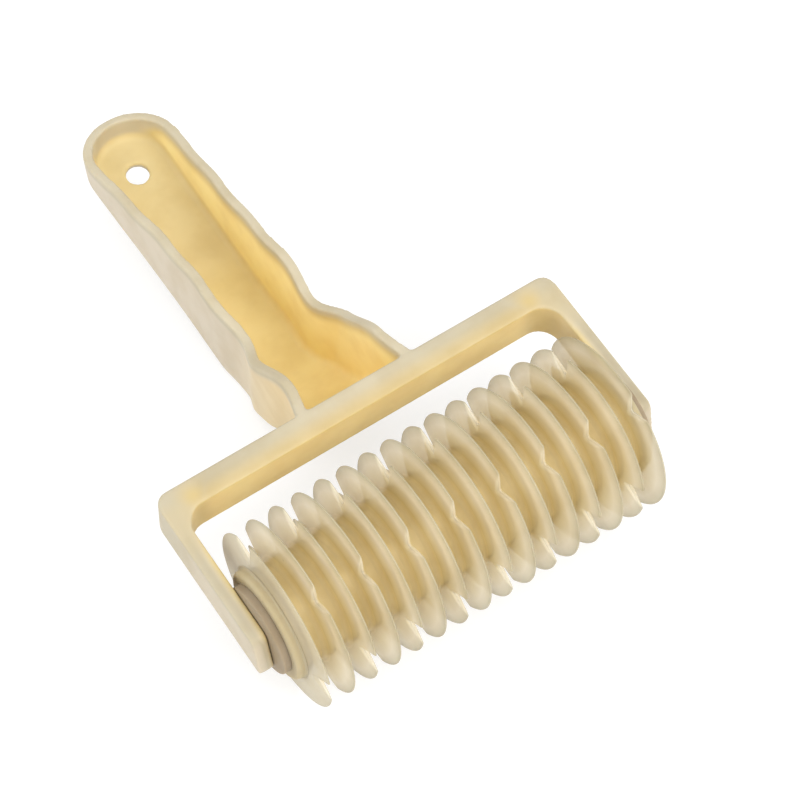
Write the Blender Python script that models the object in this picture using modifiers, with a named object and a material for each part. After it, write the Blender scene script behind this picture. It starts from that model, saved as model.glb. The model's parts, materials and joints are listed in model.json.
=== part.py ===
"""Lattice roller cutter: a moulded yoke with a trough handle, and a roller of notched cutting discs."""

import math

import bmesh
import bpy
from mathutils import Matrix, Vector

MM = 0.001

# Yoke: two arms and a crossbar, in the plane of the axle
FRAME_WIDTH = 120.0 * MM
ARM_THICKNESS = 4.2 * MM
YOKE_HEIGHT = 13.4 * MM
BAR_THICKNESS = 7.5 * MM
AXLE_TO_BAR = 34.0 * MM
OUTER_CORNER_RADIUS = 4.0 * MM
INNER_CORNER_RADIUS = 6.0 * MM
SOFT_EDGE = 0.8 * MM
ARM_TOP_PAST_AXLE = 4.4 * MM
ARM_FOOT_PAST_AXLE = 8.4 * MM
ARM_TOP_RADIUS = 2.5 * MM
ARM_FOOT_RADIUS = 1.2 * MM

# Handle: a trough that opens upwards, stepped down behind the crossbar
HANDLE_RUN = 125.0 * MM
HANDLE_END_RADIUS = 14.0 * MM
HANDLE_WALL = 2.7 * MM
FLOOR_THICKNESS = 2.4 * MM
WALL_DRAFT = 0.6 * MM
BACK_EDGE_RADIUS = 2.2 * MM
FLOOR_EDGE_RADIUS = 2.2 * MM
HANGING_HOLE_DIAMETER = 6.8 * MM
HANGING_HOLE_FROM_END = 16.2 * MM

# Handle outline in plan: places behind the crossbar and half widths there
SHOULDER_AT = 10.0 * MM
BULGE_AT = 24.0 * MM
NECK_AT = 36.0 * MM
SWELL_AT = 48.0 * MM
WAIST_AT = 62.0 * MM
FLARE_HALF_WIDTH = 17.4 * MM
SHOULDER_HALF_WIDTH = 15.3 * MM
BULGE_HALF_WIDTH = 15.2 * MM
NECK_HALF_WIDTH = 11.8 * MM
SWELL_HALF_WIDTH = 13.2 * MM
WAIST_HALF_WIDTH = 12.6 * MM
FINGER_PITCH = 20.0 * MM
FINGER_DEPTH = 0.3 * MM

# Handle rim: drops below its start at the crossbar, and height above the back at the end
RIM_STEP = 0.2 * MM
RIM_SHOULDER_DROP = 1.8 * MM
RIM_BULGE_DROP = 14.0 * MM
RIM_NECK_DROP = 20.5 * MM
RIM_SWELL_DROP = 20.0 * MM
RIM_WAIST_DROP = 22.4 * MM
END_HEIGHT = 9.3 * MM

# Handle back: a steep nose behind the crossbar, then an easy slope down to a level back
BACK_DEPTH = 43.0 * MM
NOSE_LENGTH = 18.0 * MM
NOSE_SHORTFALL = 10.0 * MM
BACK_LEVEL_AT = 42.0 * MM

# Roller: discs that taper from the hub to the edge, end collars and washers, on a hexagonal shaft
DISC_COUNT = 16
DISC_RADIUS = 24.5 * MM
DISC_STEPS = 36
EDGE_THICKNESS = 0.6 * MM
WEB_THICKNESS = 2.2 * MM
HUB_RADIUS = 13.6 * MM
NOTCH_COUNT = 3
NOTCH_DEPTH = 5.8 * MM
NOTCH_WIDTH = 8.2 * MM
NOTCH_FLOOR = 1.0 * MM
FIRST_NOTCH_ANGLE = 128.0
COLLAR_RADIUS = 15.5 * MM
COLLAR_THICKNESS = 2.0 * MM
WASHER_RADIUS = 12.2 * MM
WASHER_THICKNESS = 1.6 * MM
HEX_ACROSS_FLATS = 8.0 * MM
JOURNAL_DIAMETER = 6.0 * MM
SOCKET_DEPTH = 2.8 * MM

# Gap between neighbours, and how far a cutter runs past the face it cuts
CLEARANCE = 0.3 * MM
OVERRUN = 2.0 * MM

# Places that follow from the sizes
BAR_BACK = AXLE_TO_BAR + BAR_THICKNESS
ARM_INNER = FRAME_WIDTH / 2 - ARM_THICKNESS
WASHER_X = ARM_INNER - CLEARANCE - WASHER_THICKNESS / 2
COLLAR_X = WASHER_X - WASHER_THICKNESS / 2 - CLEARANCE - COLLAR_THICKNESS / 2
LAST_DISC_X = COLLAR_X - COLLAR_THICKNESS / 2 - CLEARANCE - WEB_THICKNESS / 2
DISC_PITCH = 2 * LAST_DISC_X / (DISC_COUNT - 1)
HUB_HALF = (DISC_PITCH - CLEARANCE) / 2
HEX_END = COLLAR_X + COLLAR_THICKNESS / 2
JOURNAL_END = ARM_INNER + SOCKET_DEPTH - CLEARANCE
ARC_START = HANDLE_RUN - HANDLE_END_RADIUS
HANGING_HOLE_Y = BAR_BACK + HANDLE_RUN - HANGING_HOLE_FROM_END


def clear_scene():
    for obj in list(bpy.data.objects):
        bpy.data.objects.remove(obj, do_unlink=True)


def new_collection(name):
    collection = bpy.data.collections.new(name)
    bpy.context.scene.collection.children.link(collection)
    return collection


def plastic(name, colour, roughness):
    material = bpy.data.materials.new(name)
    material.use_nodes = True
    shader = material.node_tree.nodes["Principled BSDF"]
    shader.inputs["Base Color"].default_value = (*colour, 1.0)
    shader.inputs["Roughness"].default_value = roughness
    shader.inputs["Metallic"].default_value = 0.0
    return material


def smooth_shading(mesh):
    mesh.shade_smooth()
    mesh.set_sharp_from_angle(angle=math.radians(35))


def link_mesh(name, mesh, collection):
    obj = bpy.data.objects.new(name, mesh)
    collection.objects.link(obj)
    return obj


def evaluated_mesh(obj):
    depsgraph = bpy.context.evaluated_depsgraph_get()
    return bpy.data.meshes.new_from_object(obj.evaluated_get(depsgraph))


def boolean(obj, tool, operation):
    tool.hide_render = True
    tool.display_type = "WIRE"
    modifier = obj.modifiers.new(operation.title(), "BOOLEAN")
    modifier.operation = operation
    modifier.solver = "EXACT"
    modifier.object = tool


def arc_points(centre, radius, start, end, segments):
    """Points on an arc, angles in degrees, both ends included."""
    points = []
    for i in range(segments + 1):
        angle = math.radians(start + (end - start) * i / segments)
        points.append((centre[0] + radius * math.cos(angle), centre[1] + radius * math.sin(angle)))
    return points


def extruded_outline(name, points, depth, matrix, collection):
    """A closed flat outline given thickness on both sides of its plane, as a mesh."""
    curve = bpy.data.curves.new(name, "CURVE")
    curve.dimensions = "2D"
    curve.fill_mode = "BOTH"
    curve.extrude = depth / 2
    spline = curve.splines.new("POLY")
    spline.points.add(len(points) - 1)
    for point, (x, y) in zip(spline.points, points):
        point.co = (x, y, 0.0, 1.0)
    spline.use_cyclic_u = True
    guide = bpy.data.objects.new(name + "_outline", curve)
    collection.objects.link(guide)
    mesh = evaluated_mesh(guide)
    bpy.data.objects.remove(guide, do_unlink=True)
    work = bmesh.new()
    work.from_mesh(mesh)
    bmesh.ops.remove_doubles(work, verts=work.verts, dist=0.00001)
    bmesh.ops.recalc_face_normals(work, faces=work.faces)
    work.to_mesh(mesh)
    work.free()
    mesh.transform(matrix)
    return link_mesh(name, mesh, collection)


def cylinder(name, radius, length, matrix, segments, collection):
    """A cylinder along its own Z, centred on its origin and placed by the matrix."""
    work = bmesh.new()
    bmesh.ops.create_cone(work, cap_ends=True, segments=segments, radius1=radius, radius2=radius, depth=length)
    mesh = bpy.data.meshes.new(name)
    work.to_mesh(mesh)
    work.free()
    mesh.transform(matrix)
    return link_mesh(name, mesh, collection)


def along_x(x):
    return Matrix.Translation((x, 0.0, 0.0)) @ Matrix.Rotation(math.pi / 2, 4, "Y")


def curve_through(knots, y):
    """Value at y of a smooth curve through the knots that never swings past them.

    Each knot is a (place, value) pair. Past the ends the curve stays level.
    """
    if y <= knots[0][0]:
        return knots[0][1]
    if y >= knots[-1][0]:
        return knots[-1][1]
    steps = [(b[1] - a[1]) / (b[0] - a[0]) for a, b in zip(knots, knots[1:])]
    slopes = [steps[0]]
    for before, after in zip(steps, steps[1:]):
        slopes.append(2 * before * after / (before + after) if before * after > 0 else 0.0)
    slopes.append(steps[-1])
    i = max(k for k in range(len(steps)) if knots[k][0] <= y)
    span = knots[i + 1][0] - knots[i][0]
    t = (y - knots[i][0]) / span
    return (
        (2 * t**3 - 3 * t**2 + 1) * knots[i][1]
        + (t**3 - 2 * t**2 + t) * span * slopes[i]
        + (3 * t**2 - 2 * t**3) * knots[i + 1][1]
        + (t**3 - t**2) * span * slopes[i + 1]
    )


def rim_height(y):
    """Height of the handle's rim at a distance y behind the crossbar."""
    top = YOKE_HEIGHT / 2 - RIM_STEP
    knots = [
        (0.0, top),
        (SHOULDER_AT, top - RIM_SHOULDER_DROP),
        (BULGE_AT, top - RIM_BULGE_DROP),
        (NECK_AT, top - RIM_NECK_DROP),
        (SWELL_AT, top - RIM_SWELL_DROP),
        (WAIST_AT, top - RIM_WAIST_DROP),
        (HANDLE_RUN, END_HEIGHT - BACK_DEPTH),
    ]
    return curve_through(knots, y)


def back_height(y):
    """Height of the handle's back at a distance y behind the crossbar."""
    knots = [
        (0.0, RIM_STEP - YOKE_HEIGHT / 2),
        (NOSE_LENGTH, NOSE_SHORTFALL - BACK_DEPTH),
        (BACK_LEVEL_AT, -BACK_DEPTH),
        (HANDLE_RUN, -BACK_DEPTH),
    ]
    return curve_through(knots, y)


def handle_half_width(y):
    """Half width of the handle's rim at a distance y behind the crossbar."""
    knots = [
        (0.0, FLARE_HALF_WIDTH),
        (SHOULDER_AT, SHOULDER_HALF_WIDTH),
        (BULGE_AT, BULGE_HALF_WIDTH),
        (NECK_AT, NECK_HALF_WIDTH),
        (SWELL_AT, SWELL_HALF_WIDTH),
        (WAIST_AT, WAIST_HALF_WIDTH),
        (ARC_START, HANDLE_END_RADIUS),
    ]
    width = curve_through(knots, y)
    if SWELL_AT < y < ARC_START:
        fade = math.sin(math.pi * (y - SWELL_AT) / (ARC_START - SWELL_AT)) ** 0.5
        width += fade * FINGER_DEPTH * math.cos(2 * math.pi * (y - SWELL_AT) / FINGER_PITCH)
    return width


def handle_outline():
    """Right side of the rim in plan, as (x, y) from inside the crossbar to the tip of the handle."""
    stations = round(ARC_START / (3.4 * MM))
    points = [(FLARE_HALF_WIDTH, -BAR_THICKNESS / 2)]
    for i in range(stations + 1):
        y = ARC_START * i / stations
        points.append((handle_half_width(y), y))
    return points + arc_points((0.0, ARC_START), HANDLE_END_RADIUS, 0.0, 90.0, 8)[1:]


def inset_outline(points, distance):
    """The outline moved inwards. Its tip stays on the centre line."""
    moved = []
    for i, (x, y) in enumerate(points):
        low = points[max(i - 1, 0)]
        high = points[min(i + 1, len(points) - 1)]
        along = Vector((high[0] - low[0], high[1] - low[1])).normalized()
        if i == 0:
            along = Vector((0.0, 1.0))
        if i == len(points) - 1:
            along = Vector((-1.0, 0.0))
        moved.append((max(x - along.y * distance, 0.0), y + along.x * distance))
    moved[-1] = (0.0, moved[-1][1])
    return moved


def trough_block(name, rim_inset, edge_radius, top_rise, floor_rise, front, collection):
    """A solid between the rim and the back of the handle, as wide as the rim less an inset.

    Each section runs down the left side, round the edge, across the bottom and up the right side.
    """
    outline = handle_outline()
    edge_steps = 3
    foot_inset = rim_inset + WALL_DRAFT
    chains = [(rim_inset, None)]
    for i in range(edge_steps + 1):
        turn = math.radians(90.0 * i / edge_steps)
        chains.append((foot_inset + edge_radius * (1 - math.cos(turn)), edge_radius * (1 - math.sin(turn))))
    columns = []
    for inset, lift in chains:
        column = []
        for (x, y), (_, base_y) in zip(inset_outline(outline, inset), outline):
            height = rim_height(base_y) + top_rise
            if lift is not None:
                height = back_height(y) + floor_rise + lift
            column.append(Vector((x, BAR_BACK + (front if base_y < 0.0 else y), height)))
        columns.append(column)
    work = bmesh.new()
    rings = []
    for i in range(len(outline)):
        right = [column[i] for column in columns]
        left = [Vector((-p.x, p.y, p.z)) for p in right]
        rings.append([work.verts.new(p) for p in left + right[::-1]])
    count = len(rings[0])
    for ring, following in zip(rings, rings[1:]):
        for j in range(count):
            k = (j + 1) % count
            work.faces.new((ring[j], ring[k], following[k], following[j]))
    work.faces.new(rings[0])
    bmesh.ops.remove_doubles(work, verts=work.verts, dist=0.00001)
    bmesh.ops.triangulate(work, faces=work.faces)
    bmesh.ops.recalc_face_normals(work, faces=work.faces)
    mesh = bpy.data.meshes.new(name)
    work.to_mesh(mesh)
    work.free()
    return link_mesh(name, mesh, collection)


def yoke_plan():
    """The yoke seen from above: an arm, the crossbar and an arm, as one outline."""
    half = FRAME_WIDTH / 2
    front = -ARM_FOOT_PAST_AXLE - OVERRUN
    outer = OUTER_CORNER_RADIUS
    inner = INNER_CORNER_RADIUS
    points = [(-half, front)]
    points += arc_points((-half + outer, BAR_BACK - outer), outer, 180.0, 90.0, 6)
    points += arc_points((half - outer, BAR_BACK - outer), outer, 90.0, 0.0, 6)
    points += [(half, front), (ARM_INNER, front)]
    points += arc_points((ARM_INNER - inner, AXLE_TO_BAR - inner), inner, 0.0, 90.0, 8)
    points += arc_points((-ARM_INNER + inner, AXLE_TO_BAR - inner), inner, 90.0, 180.0, 8)
    points += [(-ARM_INNER, front)]
    return points[::-1]


def rounded_corner(before, corner, after, radius, segments):
    """Points on the arc that rounds a corner between two straight edges."""
    corner = Vector(corner)
    inward = (Vector(before) - corner).normalized()
    outward = (Vector(after) - corner).normalized()
    half_angle = inward.angle(outward) / 2
    centre = corner + (inward + outward).normalized() * radius / math.sin(half_angle)
    start = corner + inward * radius / math.tan(half_angle) - centre
    sweep = math.copysign(math.pi - 2 * half_angle, outward.x * inward.y - outward.y * inward.x)
    points = []
    for i in range(segments + 1):
        turn = Matrix.Rotation(sweep * i / segments, 2)
        points.append(tuple(centre + turn @ start))
    return points


def yoke_side():
    """The yoke seen from the side: arms that end in a sloping face, and softened back edges."""
    half = YOKE_HEIGHT / 2
    corners = [
        (-ARM_FOOT_PAST_AXLE, -half, ARM_FOOT_RADIUS, 3),
        (-ARM_TOP_PAST_AXLE, half, ARM_TOP_RADIUS, 6),
        (BAR_BACK, half, SOFT_EDGE, 3),
        (BAR_BACK, -half, SOFT_EDGE, 3),
    ]
    points = []
    for i, (y, z, radius, segments) in enumerate(corners):
        before = corners[i - 1][:2]
        after = corners[(i + 1) % len(corners)][:2]
        points += rounded_corner(before, (y, z), after, radius, segments)
    return points[::-1]


def build_handle_frame(parts, tools, material):
    """Handle, crossbar and arms in one moulding."""
    side_on = Matrix(((0, 0, 1, 0), (1, 0, 0, 0), (0, 1, 0, 0), (0, 0, 0, 1)))
    frame = extruded_outline("handle_frame", yoke_plan(), YOKE_HEIGHT + OVERRUN, Matrix(), parts)
    side = extruded_outline("yoke_side_tool", yoke_side(), FRAME_WIDTH + OVERRUN, side_on, tools)
    boolean(frame, side, "INTERSECT")
    shell = trough_block("handle_shell_tool", 0.0, BACK_EDGE_RADIUS, 0.0, 0.0, -BAR_THICKNESS / 2, tools)
    hollow = trough_block(
        "handle_hollow_tool", HANDLE_WALL, FLOOR_EDGE_RADIUS, OVERRUN, FLOOR_THICKNESS, -BAR_THICKNESS, tools
    )
    boolean(shell, hollow, "DIFFERENCE")
    boolean(frame, shell, "UNION")
    hole = cylinder(
        "hanging_hole_tool",
        HANGING_HOLE_DIAMETER / 2,
        FLOOR_THICKNESS + 2 * OVERRUN,
        Matrix.Translation((0.0, HANGING_HOLE_Y, FLOOR_THICKNESS / 2 - BACK_DEPTH)),
        24,
        tools,
    )
    boolean(frame, hole, "DIFFERENCE")
    for side_sign, name in ((-1, "socket_left_tool"), (1, "socket_right_tool")):
        middle = side_sign * (ARM_INNER + SOCKET_DEPTH / 2 - OVERRUN / 2)
        radius = JOURNAL_DIAMETER / 2 + CLEARANCE
        socket = cylinder(name, radius, SOCKET_DEPTH + OVERRUN, along_x(middle), 24, tools)
        boolean(frame, socket, "DIFFERENCE")
    frame.data.materials.append(material)
    smooth_shading(frame.data)
    return frame


def turned(name, profile, steps, collection):
    """A solid turned about the Z axis from a (radius, height) profile with both ends on the axis."""
    mesh = bpy.data.meshes.new(name)
    vertices = [(radius, 0.0, height) for radius, height in profile]
    edges = [(i, i + 1) for i in range(len(vertices) - 1)]
    mesh.from_pydata(vertices, edges, [])
    obj = link_mesh(name, mesh, collection)
    screw = obj.modifiers.new("Turn", "SCREW")
    screw.axis = "Z"
    screw.steps = steps
    screw.render_steps = steps
    screw.use_merge_vertices = True
    screw.merge_threshold = 0.00001
    return obj


def notch_outline():
    """One notch across the disc: a narrow floor and straight flanks that run past the rim."""
    floor_radius = DISC_RADIUS - NOTCH_DEPTH
    flare = (NOTCH_WIDTH - NOTCH_FLOOR) / 2 / NOTCH_DEPTH
    top_radius = DISC_RADIUS + OVERRUN
    half_top = NOTCH_FLOOR / 2 + flare * (top_radius - floor_radius)
    half_floor = NOTCH_FLOOR / 2
    return [(-half_top, top_radius), (-half_floor, floor_radius), (half_floor, floor_radius), (half_top, top_radius)]


def disc_side(hub_half):
    """Half of a disc's profile, from the axis to the cutting edge, with a hub where there is room for one."""
    web = WEB_THICKNESS / 2
    points = [(0.0, hub_half)]
    if hub_half > web:
        points += [(HUB_RADIUS, hub_half), (HUB_RADIUS, web)]
    else:
        points.append((HUB_RADIUS, web))
    return points + [(DISC_RADIUS, EDGE_THICKNESS / 2)]


def disc_mesh(name, hub_left, hub_right, tools, material):
    """A cutting disc turned about X, notched and bored for the shaft."""
    profile = disc_side(hub_right) + [(r, -z) for r, z in disc_side(hub_left)[::-1]]
    blank = turned(name + "_blank", profile, DISC_STEPS, tools)
    for i in range(NOTCH_COUNT):
        turn = Matrix.Rotation(2 * math.pi * i / NOTCH_COUNT, 4, "Z")
        notch = extruded_outline("%s_notch_%d" % (name, i + 1), notch_outline(), WEB_THICKNESS + OVERRUN, turn, tools)
        boolean(blank, notch, "DIFFERENCE")
    bore_radius = (HEX_ACROSS_FLATS + 2 * CLEARANCE) / math.sqrt(3)
    bore = cylinder(name + "_bore", bore_radius, 2 * DISC_PITCH, Matrix(), 6, tools)
    boolean(blank, bore, "DIFFERENCE")
    mesh = evaluated_mesh(blank)
    mesh.transform(Matrix.Rotation(math.pi / 2, 4, "Y"))
    mesh.materials.append(material)
    smooth_shading(mesh)
    blank.hide_render = True
    blank.display_type = "WIRE"
    return mesh


def build_discs(parts, tools, material):
    web = WEB_THICKNESS / 2
    inner = disc_mesh("inner_disc", HUB_HALF, HUB_HALF, tools, material)
    first = disc_mesh("first_disc", web, HUB_HALF, tools, material)
    last = disc_mesh("last_disc", HUB_HALF, web, tools, material)
    discs = []
    for i in range(DISC_COUNT):
        mesh = first if i == 0 else last if i == DISC_COUNT - 1 else inner
        disc = link_mesh("cutter_disc_%02d" % (i + 1), mesh, parts)
        disc.location.x = i * DISC_PITCH - LAST_DISC_X
        stagger = (i % 2) * 180.0 / NOTCH_COUNT
        disc.rotation_euler.x = math.radians(180.0 - FIRST_NOTCH_ANGLE + stagger)
        discs.append(disc)
    return discs


def build_shaft(parts, tools, material):
    """Hexagonal shaft through the discs, with a round journal at each end."""
    shaft = cylinder("axle_shaft", HEX_ACROSS_FLATS / math.sqrt(3), 2 * HEX_END, along_x(0.0), 6, parts)
    journals = cylinder("journal_tool", JOURNAL_DIAMETER / 2, 2 * JOURNAL_END, along_x(0.0), 24, tools)
    boolean(shaft, journals, "UNION")
    shaft.rotation_euler.x = math.radians(180.0 - FIRST_NOTCH_ANGLE)
    journals.rotation_euler.x = shaft.rotation_euler.x
    shaft.data.materials.append(material)
    smooth_shading(shaft.data)
    return shaft


def ring(name, x, radius, thickness, bore_radius, bore_segments, parts, tools, material):
    """A flat ring on the roller's axis, bored for the shaft."""
    obj = cylinder(name, radius, thickness, along_x(0.0), DISC_STEPS, parts)
    bore = cylinder(name + "_bore", bore_radius, thickness + OVERRUN, along_x(0.0), bore_segments, tools)
    for piece in (obj, bore):
        piece.location.x = x
        piece.rotation_euler.x = math.radians(180.0 - FIRST_NOTCH_ANGLE)
    boolean(obj, bore, "DIFFERENCE")
    obj.data.materials.append(material)
    smooth_shading(obj.data)
    return obj


def build_end_rings(parts, tools, collar_material, washer_material):
    """Collars keyed on the shaft outside the discs, and washers between them and the arms."""
    hex_bore = (HEX_ACROSS_FLATS + 2 * CLEARANCE) / math.sqrt(3)
    round_bore = JOURNAL_DIAMETER / 2 + CLEARANCE
    rings = []
    for side, x_sign in (("left", -1), ("right", 1)):
        collar = ("end_collar_" + side, x_sign * COLLAR_X, COLLAR_RADIUS, COLLAR_THICKNESS, hex_bore, 6)
        washer = ("washer_" + side, x_sign * WASHER_X, WASHER_RADIUS, WASHER_THICKNESS, round_bore, 24)
        rings.append(ring(*collar, parts, tools, collar_material))
        rings.append(ring(*washer, parts, tools, washer_material))
    return rings


def resting_tilt():
    """Slope of the yoke's plane when the roller and the handle's back both touch the table."""
    tilt = 0.0
    for i in range(241):
        y = HANDLE_RUN * i / 240
        place = BAR_BACK + y
        depth = -back_height(y)
        tilt = max(tilt, math.atan2(depth, place) - math.asin(DISC_RADIUS / math.hypot(place, depth)))
    return tilt


def stand_on_table(axis, pieces):
    """Move the object so that its box is centred over the origin and its lowest point is at Z = 0."""
    depsgraph = bpy.context.evaluated_depsgraph_get()
    points = []
    for piece in pieces:
        evaluated = piece.evaluated_get(depsgraph)
        points += [evaluated.matrix_world @ vertex.co for vertex in evaluated.data.vertices]
    axis.location.y -= (min(p.y for p in points) + max(p.y for p in points)) / 2
    axis.location.z -= min(p.z for p in points)


def main():
    clear_scene()
    parts = new_collection("lattice_roller_cutter")
    tools = new_collection("cutters")
    ivory = plastic("ivory_plastic", (0.74, 0.60, 0.34), 0.42)
    disc_plastic = plastic("disc_plastic", (0.70, 0.60, 0.40), 0.38)
    washer_plastic = plastic("washer_plastic", (0.40, 0.31, 0.23), 0.50)

    pieces = [build_handle_frame(parts, tools, ivory)]
    pieces.append(build_shaft(parts, tools, disc_plastic))
    pieces += build_discs(parts, tools, disc_plastic)
    pieces += build_end_rings(parts, tools, disc_plastic, washer_plastic)

    axis = bpy.data.objects.new("roller_axis", None)
    parts.objects.link(axis)
    for obj in pieces + list(tools.objects):
        obj.parent = axis
    axis.rotation_euler.x = resting_tilt()
    bpy.context.view_layer.update()
    stand_on_table(axis, pieces)


main()
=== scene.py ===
import json
import math

import bmesh
import bpy
from mathutils import Matrix, Vector


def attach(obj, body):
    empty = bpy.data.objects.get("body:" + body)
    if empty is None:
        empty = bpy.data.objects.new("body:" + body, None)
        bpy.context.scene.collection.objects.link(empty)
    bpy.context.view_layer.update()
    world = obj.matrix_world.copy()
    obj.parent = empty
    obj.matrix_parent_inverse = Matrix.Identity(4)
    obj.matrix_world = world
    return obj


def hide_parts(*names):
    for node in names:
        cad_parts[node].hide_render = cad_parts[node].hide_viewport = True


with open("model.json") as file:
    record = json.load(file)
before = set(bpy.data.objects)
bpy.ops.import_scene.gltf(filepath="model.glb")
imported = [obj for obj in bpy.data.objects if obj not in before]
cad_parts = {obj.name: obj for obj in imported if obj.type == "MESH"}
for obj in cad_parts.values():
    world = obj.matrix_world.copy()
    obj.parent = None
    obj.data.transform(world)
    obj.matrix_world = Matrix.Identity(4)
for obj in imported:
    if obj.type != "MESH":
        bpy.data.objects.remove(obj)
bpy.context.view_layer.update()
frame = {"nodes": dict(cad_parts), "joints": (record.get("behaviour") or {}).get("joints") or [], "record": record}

MM = 0.001

# The yoke's own frame: origin on the roller's axis, X along it, Y towards the handle, Z up from the yoke
AXLE = Vector(frame["joints"][0]["pos_m"])
BACK_NORMAL = frame["record"]["mounts"][0]["axis"]
TILT = math.atan2(BACK_NORMAL[1], -BACK_NORMAL[2])
YOKE = Matrix.Translation(AXLE) @ Matrix.Rotation(TILT, 4, "X")

# Sizes of the CAD model
FRAME_WIDTH = 120.0 * MM
ARM_THICKNESS = 4.2 * MM
YOKE_HEIGHT = 13.4 * MM
BAR_THICKNESS = 7.5 * MM
AXLE_TO_BAR = 34.0 * MM
OUTER_CORNER_RADIUS = 4.0 * MM
INNER_CORNER_RADIUS = 6.0 * MM
SOFT_EDGE = 0.8 * MM
ARM_TOP_PAST_AXLE = 4.4 * MM
ARM_FOOT_PAST_AXLE = 8.4 * MM
ARM_TOP_RADIUS = 2.5 * MM
ARM_FOOT_RADIUS = 1.2 * MM
HANDLE_RUN = 125.0 * MM
HANDLE_END_RADIUS = 14.0 * MM
HANDLE_WALL = 2.7 * MM
FLOOR_THICKNESS = 2.4 * MM
WALL_DRAFT = 0.6 * MM
BACK_EDGE_RADIUS = 2.2 * MM
FLOOR_EDGE_RADIUS = 2.2 * MM
HANGING_HOLE_DIAMETER = 6.8 * MM
HANGING_HOLE_FROM_END = 16.2 * MM
BACK_DEPTH = 43.0 * MM
DISC_COUNT = 16
DISC_RADIUS = 24.5 * MM
EDGE_THICKNESS = 0.6 * MM
WEB_THICKNESS = 2.2 * MM
HUB_RADIUS = 13.6 * MM
NOTCH_COUNT = 3
NOTCH_DEPTH = 5.8 * MM
NOTCH_WIDTH = 8.2 * MM
NOTCH_FLOOR = 1.0 * MM
FIRST_NOTCH_ANGLE = 128.0
COLLAR_RADIUS = 15.5 * MM
COLLAR_THICKNESS = 2.0 * MM
WASHER_RADIUS = 12.2 * MM
WASHER_THICKNESS = 1.6 * MM
JOURNAL_DIAMETER = 6.0 * MM
SOCKET_DEPTH = 2.8 * MM
CLEARANCE = 0.3 * MM
OVERRUN = 2.0 * MM

BAR_BACK = AXLE_TO_BAR + BAR_THICKNESS
ARM_INNER = FRAME_WIDTH / 2 - ARM_THICKNESS
WASHER_X = ARM_INNER - CLEARANCE - WASHER_THICKNESS / 2
COLLAR_X = WASHER_X - WASHER_THICKNESS / 2 - CLEARANCE - COLLAR_THICKNESS / 2
LAST_DISC_X = COLLAR_X - COLLAR_THICKNESS / 2 - CLEARANCE - WEB_THICKNESS / 2
DISC_PITCH = 2 * LAST_DISC_X / (DISC_COUNT - 1)
ARC_START = HANDLE_RUN - HANDLE_END_RADIUS

# Sizes that the CAD model doesn't have: eased edges and seats of the roller's pieces, and hidden bores
EDGE_TRIM = 0.08 * MM
FILLET = 1.3 * MM
BEVEL = 1.3 * MM
BELLY = 0.10 * MM
HUB_BORE = 5.2 * MM
COLLAR_BORE = 5.0 * MM
COLLAR_TRIM = 0.3 * MM
COLLAR_SOFT_EDGE = 1.1 * MM
COLLAR_FLARE = 0.7 * MM
WASHER_RISE = 0.2 * MM
WASHER_SOFT_EDGE = 0.5 * MM

# Angles in degrees: of the rings' spokes, and of a disc's closer spokes on each side of a notch
RING_TURNS = [3.0 * k for k in range(120)]
NEAR_NOTCH = 14.0
NEAR_STEP = 0.7
FAR_STEPS = 46

# Least stored reach on a blade's edge, which gives the notches' walls nearly the colour of the rim: painted shade
# on walls that face the light
NOTCH_EDGE_REACH = 0.84

# Finish of the moulded plastic: scales of its patterns per metre, and their strengths
CLOUD_SCALE = 90.0
SPECK_SCALE = 75.0
SPECK_PATCH_SCALE = 31.0
SPECK_RADIUS = 0.030
SPECK_STRENGTH = 0.30
GLOSS_SCALE = 240.0
RIPPLE_SCALE = 420.0
RIPPLE_STRENGTH = 0.06
RIPPLE_HEIGHT = 0.6 * MM

# Share of painted yellow glow on the tops of the handle's walls, and of painted warm glow beside the crossbar,
# both colour that stands in for light through the translucent plastic
RIM_YELLOW = 0.25
PAINTED_GLOW = 0.45

# Mesh of the handle
VOXEL = 0.5 * MM
SMOOTHING_ROUNDS = 8


# Materials

def srgb(red, green, blue):
    """Colour for a socket from the 0 to 255 levels in which colours are usually written."""
    def linear(level):
        value = level / 255.0
        return value / 12.92 if value <= 0.04045 else ((value + 0.055) / 1.055) ** 2.4

    return (linear(red), linear(green), linear(blue), 1.0)


def grey(level):
    return (level, level, level, 1.0)


def blank_material(name):
    material = bpy.data.materials.new(name)
    material.use_nodes = True
    tree = material.node_tree
    return material, tree, tree.nodes["Principled BSDF"]


def add_node(tree, kind, **settings):
    node = tree.nodes.new(kind)
    for key, value in settings.items():
        setattr(node, key, value)
    return node


def plug(tree, socket, value):
    """Links an input to another node's output, or sets it to a plain value."""
    if isinstance(value, bpy.types.NodeSocket):
        tree.links.new(value, socket)
    else:
        socket.default_value = value


def object_place(tree):
    return add_node(tree, "ShaderNodeTexCoord").outputs["Object"]


def stored(tree, name):
    """Value that the mesh stores at each of its points under a name."""
    return add_node(tree, "ShaderNodeAttribute", attribute_name=name).outputs["Fac"]


def mix_colour(tree, factor, first, second, blend="MIX"):
    """Mix of two colours, each of them a value or another node's output."""
    node = add_node(tree, "ShaderNodeMix", data_type="RGBA", blend_type=blend)
    for place, value in ((0, factor), (6, first), (7, second)):
        plug(tree, node.inputs[place], value)
    return node.outputs[2]


def colour_ramp(tree, factor, stops):
    """Colour at a factor between stops, each given as (place, colour)."""
    node = add_node(tree, "ShaderNodeValToRGB")
    elements = node.color_ramp.elements
    for i, (place, colour) in enumerate((stops[0], stops[-1])):
        elements[i].position = place
        elements[i].color = colour
    for place, colour in stops[1:-1]:
        elements.new(place).color = colour
    tree.links.new(factor, node.inputs[0])
    return node.outputs[0]


def maths(tree, operation, *values):
    node = add_node(tree, "ShaderNodeMath", operation=operation)
    for socket, value in zip(node.inputs, values):
        plug(tree, socket, value)
    return node.outputs[0]


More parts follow.
